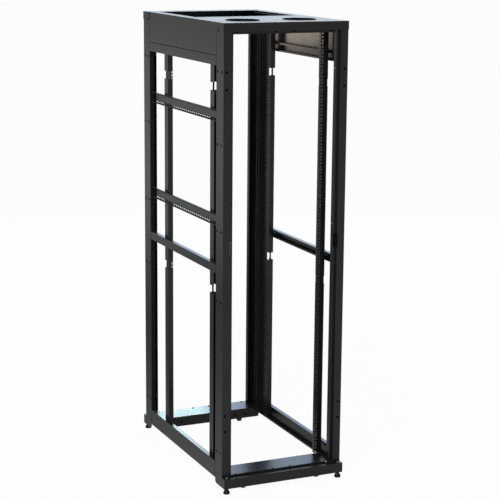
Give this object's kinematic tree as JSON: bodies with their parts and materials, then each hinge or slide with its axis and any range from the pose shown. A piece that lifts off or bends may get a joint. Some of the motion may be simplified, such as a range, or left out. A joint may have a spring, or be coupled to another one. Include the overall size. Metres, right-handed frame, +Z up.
{
  "type": "open-frame rack",
  "caption": "Tall open-frame equipment rack of folded black sheet steel: corner posts, perforated rack rails, side rails, lacing bars, vented top with cable ports, casters and levelling feet.",
  "frame": {"origin": "centre of the rack's plan at floor level, under the levelling feet", "axes": "+Z up, front faces -Y, +X to the right of someone facing the front"},
  "size_m": [0.6104, 1.0608, 2.146],
  "materials": {
    "black_coat": "satin black powder coat",
    "black_rubber": "matt edging",
    "zinc_steel": "zinc plated",
    "wheel_plastic": "moulded"
  },
  "bodies": {
    "frame": {"front_left_post": "black_coat", "front_right_post": "black_coat", "rear_left_post": "black_coat", "rear_right_post": "black_coat", "front_left_rack_rail": "black_coat", "front_right_rack_rail": "black_coat", "rear_left_rack_rail": "black_coat", "rear_right_rack_rail": "black_coat", "left_upper_side_rail": "black_coat", "left_mid_side_rail": "black_coat", "left_lower_side_rail": "black_coat", "left_upper_side_panel": "black_coat", "right_upper_side_rail": "black_coat", "right_mid_side_rail": "black_coat", "right_lower_side_rail": "black_coat", "right_upper_side_panel": "black_coat", "front_top_header": "black_coat", "rear_top_header": "black_coat", "top_cover": "black_coat", "front_base_sill": "black_coat", "rear_base_sill": "black_coat", "left_cable_grommet": "black_rubber", "right_cable_grommet": "black_rubber", "lower_lacing_bar": "black_coat", "upper_lacing_bar": "black_coat", "front_left_levelling_foot": "zinc_steel", "front_right_levelling_foot": "zinc_steel", "rear_left_levelling_foot": "zinc_steel", "rear_right_levelling_foot": "zinc_steel", "front_left_caster_plate": "zinc_steel", "front_right_caster_plate": "zinc_steel", "rear_left_caster_plate": "zinc_steel", "rear_right_caster_plate": "zinc_steel"},
    "front_left_swivel": {"front_left_caster_fork": "zinc_steel"},
    "front_left_roller": {"front_left_caster_wheel": "wheel_plastic"},
    "front_right_swivel": {"front_right_caster_fork": "zinc_steel"},
    "front_right_roller": {"front_right_caster_wheel": "wheel_plastic"},
    "rear_left_swivel": {"rear_left_caster_fork": "zinc_steel"},
    "rear_left_roller": {"rear_left_caster_wheel": "wheel_plastic"},
    "rear_right_swivel": {"rear_right_caster_fork": "zinc_steel"},
    "rear_right_roller": {"rear_right_caster_wheel": "wheel_plastic"}
  },
  "joints": [
    {"name": "front_left_swivel_turn", "type": "hinge", "parent": "frame", "child": "front_left_swivel", "pos_m": [-0.189, -0.453, 0.068], "axis": [0, 0, 1], "continuous": true},
    {"name": "front_left_wheel_turn", "type": "hinge", "parent": "front_left_swivel", "child": "front_left_roller", "pos_m": [-0.189, -0.478, 0.027], "axis": [1, 0, 0], "continuous": true},
    {"name": "front_right_swivel_turn", "type": "hinge", "parent": "frame", "child": "front_right_swivel", "pos_m": [0.189, -0.453, 0.068], "axis": [0, 0, 1], "continuous": true},
    {"name": "front_right_wheel_turn", "type": "hinge", "parent": "front_right_swivel", "child": "front_right_roller", "pos_m": [0.189, -0.478, 0.027], "axis": [1, 0, 0], "continuous": true},
    {"name": "rear_left_swivel_turn", "type": "hinge", "parent": "frame", "child": "rear_left_swivel", "pos_m": [-0.189, 0.453, 0.068], "axis": [0, 0, 1], "continuous": true},
    {"name": "rear_left_wheel_turn", "type": "hinge", "parent": "rear_left_swivel", "child": "rear_left_roller", "pos_m": [-0.189, 0.428, 0.027], "axis": [1, 0, 0], "continuous": true},
    {"name": "rear_right_swivel_turn", "type": "hinge", "parent": "frame", "child": "rear_right_swivel", "pos_m": [0.189, 0.453, 0.068], "axis": [0, 0, 1], "continuous": true},
    {"name": "rear_right_wheel_turn", "type": "hinge", "parent": "rear_right_swivel", "child": "rear_right_roller", "pos_m": [0.189, 0.428, 0.027], "axis": [1, 0, 0], "continuous": true}
  ]
}
